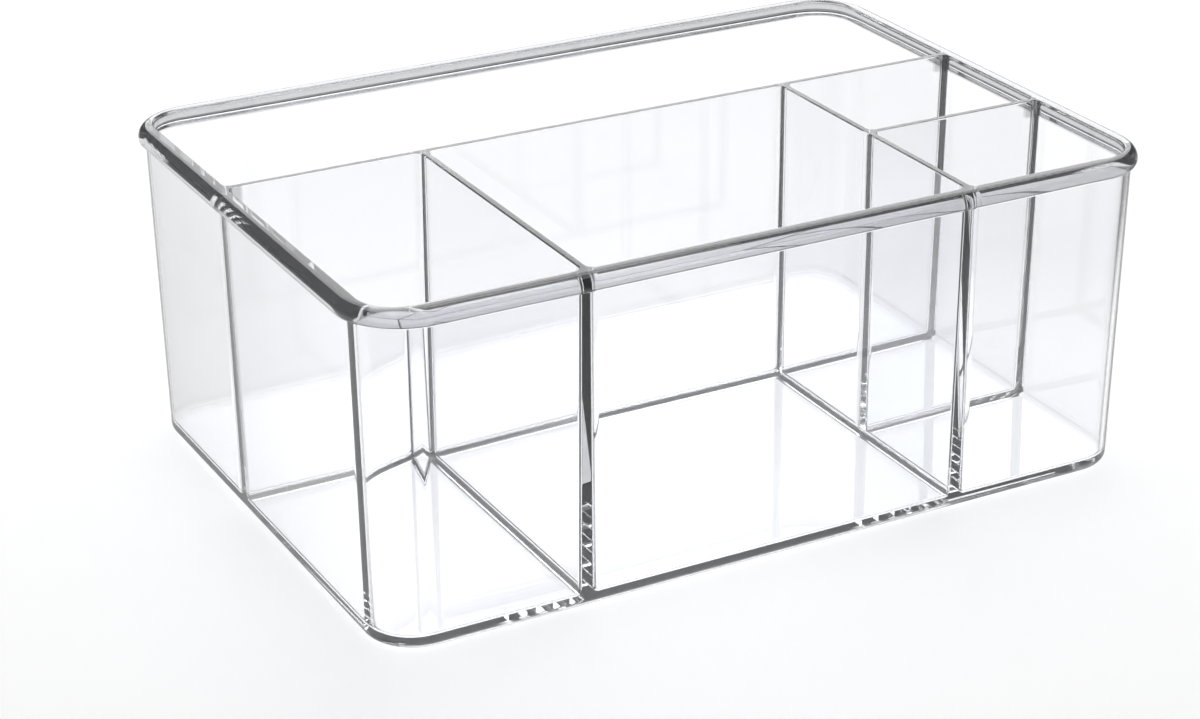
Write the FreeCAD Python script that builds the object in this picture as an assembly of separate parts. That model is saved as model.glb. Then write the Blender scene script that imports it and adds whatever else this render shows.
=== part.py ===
"""Clear moulded vanity organizer: a leaning-walled tray with a round rim and four dividers.

Lengths are in millimetres. X runs along the front from left to right, Y from front to back, Z up.
The origin is at the middle of the flat base.
"""
import FreeCAD, Part
import os

# Overall size
overall_length = 257.175
overall_depth = 180.975
overall_height = 101.6

# Rim
rim_overhang = 2.7  # how far the rim stands out from the wall below it
rim_height = 5.5
rim_corner_radius = 20.4  # outer edge, seen from above
upper_round_share = 0.62  # of the rim's height: its large round above
lower_round_share = 0.36  # of the rim's height: its smaller round below

# Walls and floor
wall_thickness = 2.8
side_wall_lean = 2.0  # how far the left and right walls move in between the rim and the base
long_wall_lean = 0.7  # the same for the front and back walls
wall_corner_radius = 15.5  # outer face, seen from above
inner_corner_radius = 11.5  # inner face
base_edge_round = 2.9
floor_thickness = 3.0

# Dividers, their places measured from the middle of the tray to their centre lines
divider_foot_thickness = 3.2
divider_top_thickness = 2.2
long_divider_place = 16.5  # towards the back
cross_divider_place = 61.8  # to the left and to the right
short_divider_place = 33.0  # towards the front

# Roundings inside the compartments
inner_round = 2.0  # floor edges, and upright corners where dividers meet walls and each other
seat_land = 0.5  # straight stretch between a rounding and the divider that is seated beside it

# Modelling allowances
cut_overrun = 1.0  # how far a cut runs past the surface it opens
near_share = 0.01  # of the inner round: how close an edge lies to a level to count as in it

# Levels and radii that follow
rim_underside = overall_height - rim_height
rim_upper_round = rim_height * upper_round_share
rim_lower_round = rim_height * lower_round_share
seat_standoff = inner_round + seat_land
divider_foot_level = floor_thickness + seat_standoff


def inset_rectangle(side_inset, long_inset):
    """Left, right, front and back of the tray's plan, its short and its long sides moved in."""
    right = overall_length / 2 - side_inset
    back = overall_depth / 2 - long_inset
    return -right, right, -back, back


def wall_rectangle(level, depth=0):
    """Left, right, front and back of the walls at a level: outer faces, or faces at a depth inside."""
    drop_share = (rim_underside - level) / rim_underside
    inset = rim_overhang + depth
    return inset_rectangle(inset + side_wall_lean * drop_share, inset + long_wall_lean * drop_share)


def inner_rectangle(level):
    """Left, right, front and back of the walls' inner faces at a level."""
    return wall_rectangle(level, wall_thickness)


def divider_half(level):
    """Half the thickness of a divider at a level: it tapers from foot to top."""
    rise = (level - floor_thickness) / (overall_height - floor_thickness)
    return (divider_foot_thickness + (divider_top_thickness - divider_foot_thickness) * rise) / 2


def compartments(level):
    """Left, right, front and back of each compartment at a level."""
    left, right, front, back = inner_rectangle(level)
    half = divider_half(level)
    behind_long = long_divider_place + half
    before_long = long_divider_place - half
    inner_side = cross_divider_place - half
    outer_side = cross_divider_place + half
    behind_short = -short_divider_place + half
    before_short = -short_divider_place - half
    return {
        "back": (left, right, behind_long, back),
        "front_left": (left, -outer_side, front, before_long),
        "middle": (-inner_side, inner_side, front, before_long),
        "right_rear": (outer_side, right, behind_short, before_long),
        "right_front": (outer_side, right, front, before_short),
    }


def flat_sided(low, low_level, top, top_level):
    """A solid with four flat sides, between a rectangle at one level and another at a higher level."""
    left, right, front, back = low
    top_left, top_right, top_front, top_back = top
    start = (left, low_level, -back, -top_back, top_left)
    end = (right, top_level, -front, -top_front, top_right)
    solid = Part.makeWedge(*start, *end)
    solid.rotate(FreeCAD.Vector(0, 0, 0), FreeCAD.Vector(1, 0, 0), 90)
    return solid


def edges_at(shape, level):
    """The edges of a shape that lie in a level plane."""
    near = inner_round * near_share
    boxes = [(edge, edge.BoundBox) for edge in shape.Edges]
    return [edge for edge, box in boxes if abs(box.ZMin - level) < near and abs(box.ZMax - level) < near]


def upright_edge(shape, x, y):
    """The edge of a shape that stands on a corner of its bottom."""
    foot = Part.Vertex(x, y, shape.BoundBox.ZMin)
    upright = [edge for edge in shape.Edges if edge.BoundBox.ZLength > shape.BoundBox.ZLength / 2]
    return min(upright, key=lambda edge: edge.distToShape(foot)[0])


def corner_points(rectangle):
    """The four corners of a rectangle."""
    left, right, front, back = rectangle
    return [(left, front), (right, front), (right, back), (left, back)]


def round_corners(shape, points, radius):
    """Rounds the upright edges that stand on corners of a shape's bottom."""
    return shape.makeFillet(radius, [upright_edge(shape, *point) for point in points])


def tray_block():
    """The walls' outer form, filled: leaning in towards the base, with round corners and bottom edge."""
    low = wall_rectangle(0)
    top = wall_rectangle(rim_underside)
    block = flat_sided(low, 0, top, rim_underside)
    block = round_corners(block, corner_points(low), wall_corner_radius)
    return block.makeFillet(base_edge_round, edges_at(block, 0))


def rim_block():
    """The rim's outer form, filled: a band with a large round above and a smaller one below."""
    outline = inset_rectangle(0, 0)
    block = flat_sided(outline, rim_underside, outline, overall_height)
    block = round_corners(block, corner_points(outline), rim_corner_radius)
    block = block.makeFillet(rim_upper_round, edges_at(block, overall_height))
    return block.makeFillet(rim_lower_round, edges_at(block, rim_underside))


def compartment_solid(name):
    """The space of one compartment: leaning sides, and round upright corners and floor edges."""
    low = compartments(floor_thickness)[name]
    top = compartments(overall_height)[name]
    space = flat_sided(low, floor_thickness, top, overall_height)
    tray_corners = corner_points(inner_rectangle(floor_thickness))
    shared = [point for point in corner_points(low) if point in tray_corners]
    junctions = [point for point in corner_points(low) if point not in tray_corners]
    if shared:
        space = round_corners(space, shared, inner_corner_radius)
    upright = [upright_edge(space, *point) for point in junctions]
    return space.makeFillet(inner_round, upright + edges_at(space, floor_thickness))


def moulding():
    """The whole tray as it leaves the mould, before it is divided into its named pieces."""
    body = tray_block().fuse(rim_block())
    return body.cut([compartment_solid(name) for name in compartments(overall_height)])


def box_between(left, right, front, back, bottom):
    """A box from a level up past the top of the tray."""
    height = overall_height + cut_overrun - bottom
    return Part.makeBox(right - left, back - front, height, FreeCAD.Vector(left, front, bottom))


def divider_regions():
    """The box that each divider fills, clear of the roundings of the pieces that carry its foot and ends."""
    left, right, front, back = inner_rectangle(divider_foot_level)
    reach = divider_half(divider_foot_level) + seat_standoff
    long_front = long_divider_place - reach
    long_back = long_divider_place + reach
    cross_inner = cross_divider_place - reach
    cross_outer = cross_divider_place + reach
    cross_front = front + seat_standoff
    left_end = left + seat_standoff
    right_end = right - seat_standoff
    short_front = -short_divider_place - reach
    short_back = -short_divider_place + reach
    plans = {
        "long_divider": (left_end, right_end, long_front, long_back),
        "left_cross_divider": (-cross_outer, -cross_inner, cross_front, long_front),
        "right_cross_divider": (cross_inner, cross_outer, cross_front, long_front),
        "short_divider": (cross_outer, right_end, short_front, short_back),
    }
    return {name: box_between(*plan, divider_foot_level) for name, plan in plans.items()}


def pieces():
    """The named pieces: four dividers, the rim above the walls, and the tub that carries them all."""
    whole = moulding()
    regions = divider_regions()
    above_walls = box_between(*inset_rectangle(-cut_overrun, -cut_overrun), rim_underside)
    result = {name: whole.common(region) for name, region in regions.items()}
    rest = whole.cut(list(regions.values()))
    result["rim_bead"] = rest.common(above_walls)
    result["tub"] = rest.cut(above_walls)
    return result


os.makedirs("parts", exist_ok=True)
for node, shape in pieces().items():
    shape.Solids[0].exportStep(f"parts/{node}.step")
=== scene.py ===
import math

import bmesh
import bpy
from mathutils import Matrix, Vector


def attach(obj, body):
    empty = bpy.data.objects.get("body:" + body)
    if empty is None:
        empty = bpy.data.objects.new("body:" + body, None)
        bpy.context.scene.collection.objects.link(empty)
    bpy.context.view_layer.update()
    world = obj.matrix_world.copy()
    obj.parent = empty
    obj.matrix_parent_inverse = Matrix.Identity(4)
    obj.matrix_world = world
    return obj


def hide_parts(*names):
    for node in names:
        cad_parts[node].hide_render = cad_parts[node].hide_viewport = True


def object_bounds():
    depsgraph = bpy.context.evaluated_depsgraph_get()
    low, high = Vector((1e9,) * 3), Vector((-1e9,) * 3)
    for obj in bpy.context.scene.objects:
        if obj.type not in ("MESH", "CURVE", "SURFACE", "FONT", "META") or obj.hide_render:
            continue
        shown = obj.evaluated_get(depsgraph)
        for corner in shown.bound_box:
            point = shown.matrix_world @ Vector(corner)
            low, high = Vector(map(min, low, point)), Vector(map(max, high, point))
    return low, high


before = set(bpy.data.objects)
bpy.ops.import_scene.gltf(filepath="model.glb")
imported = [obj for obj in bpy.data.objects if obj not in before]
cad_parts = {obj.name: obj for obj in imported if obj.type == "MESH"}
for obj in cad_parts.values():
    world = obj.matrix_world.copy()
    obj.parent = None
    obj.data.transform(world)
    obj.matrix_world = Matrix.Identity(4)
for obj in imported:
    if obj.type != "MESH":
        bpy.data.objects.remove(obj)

# The organizer is one clear moulding, so its skin is built as one closed surface and then parted along
# the seams between the CAD nodes. Light passes from piece to piece and meets no wall inside the plastic.
# Lengths are in metres, in the frame of the CAD part.

cad_low, cad_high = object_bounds()
overall_length = cad_high.x - cad_low.x
overall_depth = cad_high.y - cad_low.y
overall_height = cad_high.z - cad_low.z

# Rim
rim_overhang = 0.0027
rim_height = 0.0055
rim_corner_radius = 0.0204
rim_upper_round = 0.00341
rim_lower_round = 0.00198
crease_round = 0.0003
underside_degrees = 72

# Walls and floor
wall_thickness = 0.0028
side_wall_lean = 0.0020
long_wall_lean = 0.0007
wall_corner_radius = 0.0155
inner_corner_radius = 0.0115
base_edge_round = 0.0029
floor_thickness = 0.0030

# Dividers
divider_foot_thickness = 0.0032
divider_top_thickness = 0.0022
long_divider_place = 0.0165
cross_divider_place = 0.0618
short_divider_place = 0.0330

# Roundings inside the compartments
junction_round = 0.0020
floor_round = 0.0019
mouth_round = 0.0005
seat_land = 0.0005

# Fineness of the mesh
corner_steps = 20
round_steps = 8

# Levels and radii that follow
rim_underside = overall_height - rim_height
seat_standoff = junction_round + seat_land
divider_foot_level = floor_thickness + seat_standoff
side_lean_rate = side_wall_lean / rim_underside
long_lean_rate = long_wall_lean / rim_underside
upright = (0, 0, 0, 0)  # lean rates of four sides that don't lean

# Camera
camera_place = Vector((-0.4012, -0.7266, 0.4060))
camera_turn_degrees = -29.708
camera_down_degrees = 23.023
camera_roll_degrees = 0.289
camera_lens = 88.864
camera_shift = (-0.0605, -0.0647)

# Clear plastic
plastic_tint = (0.982, 0.986, 0.996, 1)
painted_edge_shade = (0.02, 0.021, 0.023, 1)  # painted shade, for light that enters at a grazing angle: nearly black, standing in for the dark surround that the plastic's edges show
rim_painted_shade_tint = (0.62, 0.625, 0.64, 1)  # painted shade: the rim is tinted grey, standing in for the darker surround it shows; it is thicker than the walls
# painted shade at the rim's grazing angles, darker still
rim_painted_edge_shade = (0.3, 0.305, 0.315, 1)
painted_shade_start_share, painted_shade_end_share = 0.65, 0.78  # where the painted edge shade starts and ends, as shares of the turn from facing to grazing
plastic_index = 1.54
clear_share = 0.975  # the rest is haze
polish_noise_scale = 25
least_roughness, most_roughness = 0.0, 0.012
passed_light = (0.89, 0.895, 0.905, 1)  # what each surface leaves of a lamp's light

# Floor: white round the tray and past the picture's edges, then fading to grey, so that the rounded edges
# of the clear plastic stand out
floor_gap = 0.0003
floor_reach = 6.0
floor_turn_degrees = 29.7
white_near, white_far = -0.185, 0.475
white_near_left, white_near_right = -0.34, 0.2
white_far_left, white_far_right = -0.44, 0.3
white_fade = 0.07
floor_glow = 0.3
floor_noise_scale = 900
grain_share = 0.04
white_floor_share, grey_floor_share = 0.81, 0.4  # of the light that falls on it
matt_roughness = 1.0

# Light, each lamp's direction given by its turn from +Y and its height above the floor
light_bounces = 64
reflection_bounces = 9
surround_colour = (0.13, 0.13, 0.135, 1)
white_colour = (1, 1, 1, 1)
top_turn_degrees, top_height_degrees = 0, 90
top_distance = 1.6
top_size = (1.6, 1.6)
top_power = 13
back_turn_degrees, back_height_degrees = 29, 38
back_distance = 1.5
back_size = (1.5, 1.6)
back_power = 17


def inset_rectangle(side_inset, long_inset):
    """Left, right, front and back of the tray's plan, its short and its long sides moved in."""
    right = overall_length / 2 - side_inset
    back = overall_depth / 2 - long_inset
    return -right, right, -back, back


def grown(rectangle, by):
    """A rectangle moved out on every side."""
    left, right, front, back = rectangle
    return left - by, right + by, front - by, back + by


def wall_rectangle(level, depth=0):
    """Left, right, front and back of the walls at a level: outer faces, or faces at a depth inside."""
    inset = rim_overhang + depth
    drop = rim_underside - level
    return inset_rectangle(inset + side_lean_rate * drop, inset + long_lean_rate * drop)


def inner_rectangle(level):
    """Left, right, front and back of the walls' inner faces at a level."""
    return wall_rectangle(level, wall_thickness)


def divider_half(level):
    """Half the thickness of a divider at a level: it tapers from foot to top."""
    rise = (level - floor_thickness) / (overall_height - floor_thickness)
    return (divider_foot_thickness + (divider_top_thickness - divider_foot_thickness) * rise) / 2


def compartments(level):
    """Left, right, front and back of each compartment at a level."""
    left, right, front, back = inner_rectangle(level)
    half = divider_half(level)
    behind_long = long_divider_place + half
    before_long = long_divider_place - half
    inner_side = cross_divider_place - half
    outer_side = cross_divider_place + half
    behind_short = -short_divider_place + half
    before_short = -short_divider_place - half
    return {
        "back": (left, right, behind_long, back),
        "front_left": (left, -outer_side, front, before_long),
        "middle": (-inner_side, inner_side, front, before_long),
        "right_rear": (outer_side, right, behind_short, before_long),
        "right_front": (outer_side, right, front, before_short),
    }


def corner_points(rectangle):
    """The four corners of a rectangle, from front left round to back left."""
    left, right, front, back = rectangle
    return [(left, front), (right, front), (right, back), (left, back)]


def corner_radii(name):
    """The radius of each upright corner of a compartment: large at the tray's corners, else small."""
    tray_corners = corner_points(inner_rectangle(floor_thickness))
    corners = corner_points(compartments(floor_thickness)[name])
    return [inner_corner_radius if point in tray_corners else junction_round for point in corners]


def ring_points(rectangle, radii):
    """Places and outward directions round a rectangle with round corners."""
    points = []
    for turn, ((x, y), radius) in enumerate(zip(corner_points(rectangle), radii)):
        start = math.pi + turn * math.pi / 2
        toward_x = -math.copysign(1, math.cos(start + math.pi / 4))
        toward_y = -math.copysign(1, math.sin(start + math.pi / 4))
        for step in range(corner_steps + 1):
            angle = start + step / corner_steps * math.pi / 2
            across, along = math.cos(angle), math.sin(angle)
            points.append((x + radius * (toward_x + across), y + radius * (toward_y + along), across, along))
    return points


class Skin:
    """A mesh under construction whose vertices remember the direction of the true surface."""

    def __init__(self):
        self.mesh = bmesh.new()
        self.normal = self.mesh.verts.layers.float_vector.new("true_normal")

    def ring(self, rectangle, radii, level, out, up, leans):
        """Adds a ring of vertices.

        out and up give the surface's direction, and leans how fast each side moves out with height.
        """
        left, right, front, back = leans
        ring = []
        for x, y, across, along in ring_points(rectangle, radii):
            vertex = self.mesh.verts.new((x, y, level))
            side_lean = abs(across) * (right if across > 0 else left)
            long_lean = abs(along) * (back if along > 0 else front)
            rise = up - (side_lean + long_lean) * out
            vertex[self.normal] = Vector((across * out, along * out, rise)).normalized()
            ring.append(vertex)
        return ring

    def bridge(self, rings):
        """Joins each ring to the next with a band of faces."""
        for ring, following in zip(rings, rings[1:]):
            for index in range(len(ring)):
                other = (index + 1) % len(ring)
                self.mesh.faces.new((ring[index], ring[other], following[other], following[index]))


def quarter(end_degrees=90):
    """Angles of a round, from facing sideways to facing up or down, or to an earlier end."""
    return [step / round_steps * math.radians(end_degrees) for step in range(round_steps + 1)]


def outer_rings(skin):
    """The outside, from the edge of the flat base up to the edge of the flat top of the rim."""
    leans = (side_lean_rate, side_lean_rate, long_lean_rate, long_lean_rate)
    rings = []

    def add(rectangle, radius, level, out, up, lean):
        rings.append(skin.ring(rectangle, (radius,) * 4, level, out, up, lean))

    for angle in reversed(quarter()):
        out, up = math.cos(angle), -math.sin(angle)
        by = base_edge_round * (1 - out)
        level = base_edge_round * (1 + up)
        lean = upright if angle else leans
        add(grown(wall_rectangle(level), -by), wall_corner_radius - by, level, out, up, lean)
    for angle in quarter():
        out, up = math.cos(angle), -math.sin(angle)
        by = crease_round * (1 - out)
        level = rim_underside - crease_round * (1 + up)
        lean = upright if angle else leans
        add(grown(wall_rectangle(level), by), wall_corner_radius + by, level, out, up, lean)
    for angle in reversed(quarter(underside_degrees)):
        out, up = math.cos(angle), -math.sin(angle)
        by = rim_lower_round * (1 - out)
        level = rim_underside + rim_lower_round * (1 + up)
        add(inset_rectangle(by, by), rim_corner_radius - by, level, out, up, upright)
    for angle in quarter():
        out, up = math.cos(angle), math.sin(angle)
        by = rim_upper_round * (1 - out)
        level = overall_height - rim_upper_round * (1 - up)
        add(inset_rectangle(by, by), rim_corner_radius - by, level, out, up, upright)
    return rings


def side_leans(name):
    """How fast the left, right, front and back of a compartment move out with height."""
    low = compartments(floor_thickness)[name]
    top = compartments(overall_height)[name]
    height = overall_height - floor_thickness
    signs = (-1, 1, -1, 1)
    return [sign * (b - a) / height for sign, a, b in zip(signs, low, top)]


def compartment_rings(skin, name):
    """The inside of a compartment, from its mouth down to the edge of its flat floor."""
    radii = corner_radii(name)
    leans = side_leans(name)
    rings = []

    def add(by, level, out, up, lean):
        rectangle = grown(compartments(level)[name], by)
        rings.append(skin.ring(rectangle, [radius + by for radius in radii], level, out, up, lean))

    for angle in reversed(quarter()):
        by = mouth_round * (1 - math.cos(angle))
        level = overall_height - mouth_round * (1 - math.sin(angle))
        add(by, level, -math.cos(angle), math.sin(angle), upright if angle else leans)
    for level in (rim_underside, divider_foot_level):
        add(0, level, -1, 0, leans)
    for angle in quarter():
        by = -floor_round * (1 - math.cos(angle))
        level = floor_thickness + floor_round * (1 - math.sin(angle))
        add(by, level, -math.cos(angle), math.sin(angle), upright if angle else leans)
    return rings


def moulding_skin():
    """The closed skin of the whole moulding."""
    skin = Skin()
    outside = outer_rings(skin)
    skin.bridge(outside)
    skin.mesh.faces.new(outside[0])
    deck_loops = [outside[-1]]
    for name in compartments(overall_height):
        rings = compartment_rings(skin, name)
        skin.bridge(rings)
        skin.mesh.faces.new(rings[-1])
        deck_loops.append(rings[0])
    edges = []
    for loop in deck_loops:
        for vertex, following in zip(loop, loop[1:] + loop[:1]):
            edges.append(skin.mesh.edges.get((vertex, following)))
    bmesh.ops.triangle_fill(skin.mesh, edges=edges, use_beauty=True, normal=(0, 0, 1))
    bmesh.ops.recalc_face_normals(skin.mesh, faces=skin.mesh.faces)
    return skin


def divider_regions():
    """Left, right, front and back of the region that each divider fills."""
    left, right, front, back = inner_rectangle(divider_foot_level)
    reach = divider_half(divider_foot_level) + seat_standoff
    long_front = long_divider_place - reach
    long_back = long_divider_place + reach
    cross_inner = cross_divider_place - reach
    cross_outer = cross_divider_place + reach
    cross_front = front + seat_standoff
    left_end = left + seat_standoff
    right_end = right - seat_standoff
    short_front = -short_divider_place - reach
    short_back = -short_divider_place + reach
    return {
        "long_divider": (left_end, right_end, long_front, long_back),
        "left_cross_divider": (-cross_outer, -cross_inner, cross_front, long_front),
        "right_cross_divider": (cross_inner, cross_outer, cross_front, long_front),
        "short_divider": (cross_outer, right_end, short_front, short_back),
    }


def cut(mesh, place, direction):
    """Splits every face that crosses a plane."""
    geometry = mesh.verts[:] + mesh.edges[:] + mesh.faces[:]
    bmesh.ops.bisect_plane(mesh, geom=geometry, plane_co=place, plane_no=direction)


def cut_seams(mesh):
    """Splits the skin along the seams between the pieces."""
    regions = divider_regions().values()
    for x in {side for region in regions for side in region[:2]}:
        cut(mesh, (x, 0, 0), (1, 0, 0))
    for y in {side for region in regions for side in region[2:]}:
        cut(mesh, (0, y, 0), (0, 1, 0))


def piece_of(place):
    """The name of the piece that a point of the skin belongs to."""
    for name, (left, right, front, back) in divider_regions().items():
        if left < place.x < right and front < place.y < back and place.z > divider_foot_level:
            return name
    return "rim_bead" if place.z > rim_underside else "tub"


def build_pieces(wall_plastic, grey_painted_rim_material):
    """One object for each named piece of the moulding, standing for the CAD node of the same name."""
    skin = moulding_skin()
    cut_seams(skin.mesh)
    names = [*divider_regions(), "rim_bead", "tub"]
    for name in names:
        part = skin.mesh.copy()
        others = [face for face in part.faces if piece_of(face.calc_center_median()) != name]
        bmesh.ops.delete(part, geom=others, context="FACES")
        layer = part.verts.layers.float_vector["true_normal"]
        normals = [vertex[layer].normalized() for vertex in part.verts]
        mesh = bpy.data.meshes.new(f"clear_{name}")
        part.to_mesh(mesh)
        part.free()
        mesh.shade_smooth()
        mesh.normals_split_custom_set_from_vertices(normals)
        mesh.attributes.remove(mesh.attributes["true_normal"])
        # the rim gets the copy of the plastic painted grey, as painted shade
        mesh.materials.append(grey_painted_rim_material if name == "rim_bead" else wall_plastic)
        piece = bpy.data.objects.new(f"clear_{name}", mesh)
        bpy.context.scene.collection.objects.link(piece)
        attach(piece, "root")
        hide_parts(name)
    skin.mesh.free()


def noise_range(tree, scale, low, high):
    """Cloudy noise in the object's own space, laid between two values."""
    place = tree.nodes.new("ShaderNodeTexCoord")
    noise = tree.nodes.new("ShaderNodeTexNoise")
    noise.inputs["Scale"].default_value = scale
    spread = tree.nodes.new("ShaderNodeMapRange")
    spread.inputs["To Min"].default_value = low
    spread.inputs["To Max"].default_value = high
    tree.links.new(place.outputs["Object"], noise.inputs["Vector"])
    tree.links.new(noise.outputs["Fac"], spread.inputs["Value"])
    return spread.outputs["Result"]


def tint_with_painted_edge_shade(tree, face_tint, painted_grazing_shade):
    """The plastic's tint with painted shade: darker where light enters at a grazing angle, standing in for
    the dark surround seen through the plastic's edges.
    """
    grazing = tree.nodes.new("ShaderNodeLayerWeight")
    tint = tree.nodes.new("ShaderNodeValToRGB")
    face_stop, edge_stop = tint.color_ramp.elements
    face_stop.position = painted_shade_start_share
    face_stop.color = face_tint
    edge_stop.position = painted_shade_end_share
    edge_stop.color = painted_grazing_shade
    tree.links.new(grazing.outputs["Facing"], tint.inputs["Fac"])
    return tint.outputs["Color"]


def clear_plastic(name, face_tint, painted_grazing_shade):
    """Clear polished plastic with a faint cool tint, painted shade at grazing angles, a trace of haze and
    slightly uneven polish.
    """
    material = bpy.data.materials.new(name)
    material.use_nodes = True
    tree = material.node_tree
    shader = tree.nodes["Principled BSDF"]
    shader.inputs["IOR"].default_value = plastic_index
    shader.inputs["Transmission Weight"].default_value = clear_share
    # Base colour: the tint, with painted shade where the surface is seen at a grazing angle
    tree.links.new(tint_with_painted_edge_shade(tree, face_tint, painted_grazing_shade), shader.inputs["Base Color"])
    roughness = noise_range(tree, polish_noise_scale, least_roughness, most_roughness)
    tree.links.new(roughness, shader.inputs["Roughness"])
    passing = tree.nodes.new("ShaderNodeBsdfTransparent")
    passing.inputs["Color"].default_value = passed_light
    path = tree.nodes.new("ShaderNodeLightPath")
    mix = tree.nodes.new("ShaderNodeMixShader")
    tree.links.new(path.outputs["Is Shadow Ray"], mix.inputs["Fac"])
    tree.links.new(shader.outputs["BSDF"], mix.inputs[1])
    tree.links.new(passing.outputs["BSDF"], mix.inputs[2])
    tree.links.new(mix.outputs["Shader"], tree.nodes["Material Output"].inputs["Surface"])
    return material


def calculated(tree, operation, first, second):
    """A value that the material works out. Its second input is a number or another value."""
    node = tree.nodes.new("ShaderNodeMath")
    node.operation = operation
    tree.links.new(first, node.inputs[0])
    if isinstance(second, float):
        node.inputs[1].default_value = second
    else:
        tree.links.new(second, node.inputs[1])
    return node.outputs["Value"]


def floor_colour(tree, whiteness):
    """The floor's grey, from its whiteness and a fine grain."""
    shade = tree.nodes.new("ShaderNodeMapRange")
    shade.inputs["To Min"].default_value = grey_floor_share
    shade.inputs["To Max"].default_value = white_floor_share
    tree.links.new(whiteness, shade.inputs["Value"])
    grain = noise_range(tree, floor_noise_scale, 1 - grain_share, 1 + grain_share)
    return calculated(tree, "MULTIPLY", grain, shade.outputs["Result"])


def floor_lift(tree, whiteness):
    """The glow that lifts the white floor to full white, seen straight, mirrored or through plastic."""
    path = tree.nodes.new("ShaderNodeLightPath")
    seen = calculated(tree, "MAXIMUM", path.outputs["Is Camera Ray"], path.outputs["Is Transmission Ray"])
    seen = calculated(tree, "MAXIMUM", seen, path.outputs["Is Glossy Ray"])
    white_seen = calculated(tree, "MULTIPLY", seen, whiteness)
    return calculated(tree, "MULTIPLY", white_seen, floor_glow)


def floor_material():
    """Matt floor whose whiteness is stored in its mesh."""
    material = bpy.data.materials.new("floor")
    material.use_nodes = True
    tree = material.node_tree
    shader = tree.nodes["Principled BSDF"]
    shader.inputs["Roughness"].default_value = matt_roughness
    shader.inputs["Specular IOR Level"].default_value = 0
    shader.inputs["Emission Color"].default_value = white_colour
    stored = tree.nodes.new("ShaderNodeAttribute")
    stored.attribute_name = "whiteness"
    whiteness = stored.outputs["Fac"]
    tree.links.new(floor_colour(tree, whiteness), shader.inputs["Base Color"])
    tree.links.new(floor_lift(tree, whiteness), shader.inputs["Emission Strength"])
    return material


def floor_loop(mesh, layer, grow, whiteness):
    """Four corners of the floor: those of its white area, moved out."""
    near, far = white_near - grow, white_far + grow
    near_left, near_right = white_near_left - grow, white_near_right + grow
    far_left, far_right = white_far_left - grow, white_far_right + grow
    corners = [(near_left, near), (near_right, near), (far_right, far), (far_left, far)]
    vertices = [mesh.verts.new((x, y, -floor_gap)) for x, y in corners]
    for vertex in vertices:
        vertex[layer] = whiteness
    return vertices


def build_floor():
    """The floor that the tray stands on: a white middle, a fading edge and a grey surround."""
    mesh = bmesh.new()
    layer = mesh.verts.layers.float.new("whiteness")
    growth = ((0, 1), (white_fade, 0), (floor_reach, 0))
    loops = [floor_loop(mesh, layer, grow, whiteness) for grow, whiteness in growth]
    mesh.faces.new(loops[0])
    for inner, outer in zip(loops, loops[1:]):
        for index in range(len(inner)):
            other = (index + 1) % len(inner)
            mesh.faces.new((inner[other], inner[index], outer[index], outer[other]))
    data = bpy.data.meshes.new("floor")
    mesh.to_mesh(data)
    mesh.free()
    data.materials.append(floor_material())
    floor = bpy.data.objects.new("floor", data)
    floor.rotation_euler.z = math.radians(-floor_turn_degrees)
    bpy.context.scene.collection.objects.link(floor)


def build_world():
    """A dim, even surround."""
    world = bpy.data.worlds.new("studio")
    bpy.context.scene.world = world
    world.use_nodes = True
    world.node_tree.nodes["Background"].inputs["Color"].default_value = surround_colour


def build_softbox(name, turn_degrees, height_degrees, distance, size, power):
    """A rectangular lamp that faces the tray, in a direction given by its turn from +Y and its height."""
    data = bpy.data.lights.new(name, "AREA")
    data.shape = "RECTANGLE"
    data.size, data.size_y = size
    data.energy = power
    lamp = bpy.data.objects.new(name, data)
    turn = Matrix.Rotation(math.radians(-turn_degrees), 4, "Z")
    tilt = Matrix.Rotation(math.radians(height_degrees - 90), 4, "X")
    lamp.matrix_world = turn @ tilt @ Matrix.Translation((0, 0, distance))
    bpy.context.scene.collection.objects.link(lamp)


def build_lamps():
    """A large softbox overhead, and one behind the tray that the flat tops mirror."""
    top_direction = (top_turn_degrees, top_height_degrees)
    back_direction = (back_turn_degrees, back_height_degrees)
    build_softbox("top_softbox", *top_direction, top_distance, top_size, top_power)
    build_softbox("back_softbox", *back_direction, back_distance, back_size, back_power)


def allow_long_light_paths(cycles):
    """Lets light pass through many walls, and drops rays that reflect too often inside the plastic."""
    cycles.max_bounces = light_bounces
    cycles.transmission_bounces = light_bounces
    cycles.glossy_bounces = reflection_bounces


def build_camera():
    """The camera that took the picture."""
    data = bpy.data.cameras.new("camera")
    data.lens = camera_lens
    data.shift_x, data.shift_y = camera_shift
    camera = bpy.data.objects.new("camera", data)
    turn = Matrix.Rotation(math.radians(camera_turn_degrees), 4, "Z")
    tilt = Matrix.Rotation(math.radians(90 - camera_down_degrees), 4, "X")
    roll = Matrix.Rotation(math.radians(camera_roll_degrees), 4, "Z")
    camera.matrix_world = Matrix.Translation(camera_place) @ turn @ tilt @ roll
    bpy.context.scene.collection.objects.link(camera)
    bpy.context.scene.camera = camera


wall_plastic = clear_plastic("clear_plastic", plastic_tint, painted_edge_shade)
# The rim's copy of the plastic is painted grey: painted shade for the darker surround it shows.
grey_painted_rim_material = clear_plastic("rim_material_painted_grey", rim_painted_shade_tint, rim_painted_edge_shade)
build_pieces(wall_plastic, grey_painted_rim_material)
build_floor()
build_world()
build_lamps()
build_camera()
bpy.context.scene.view_settings.view_transform = "Standard"
allow_long_light_paths(bpy.context.scene.cycles)
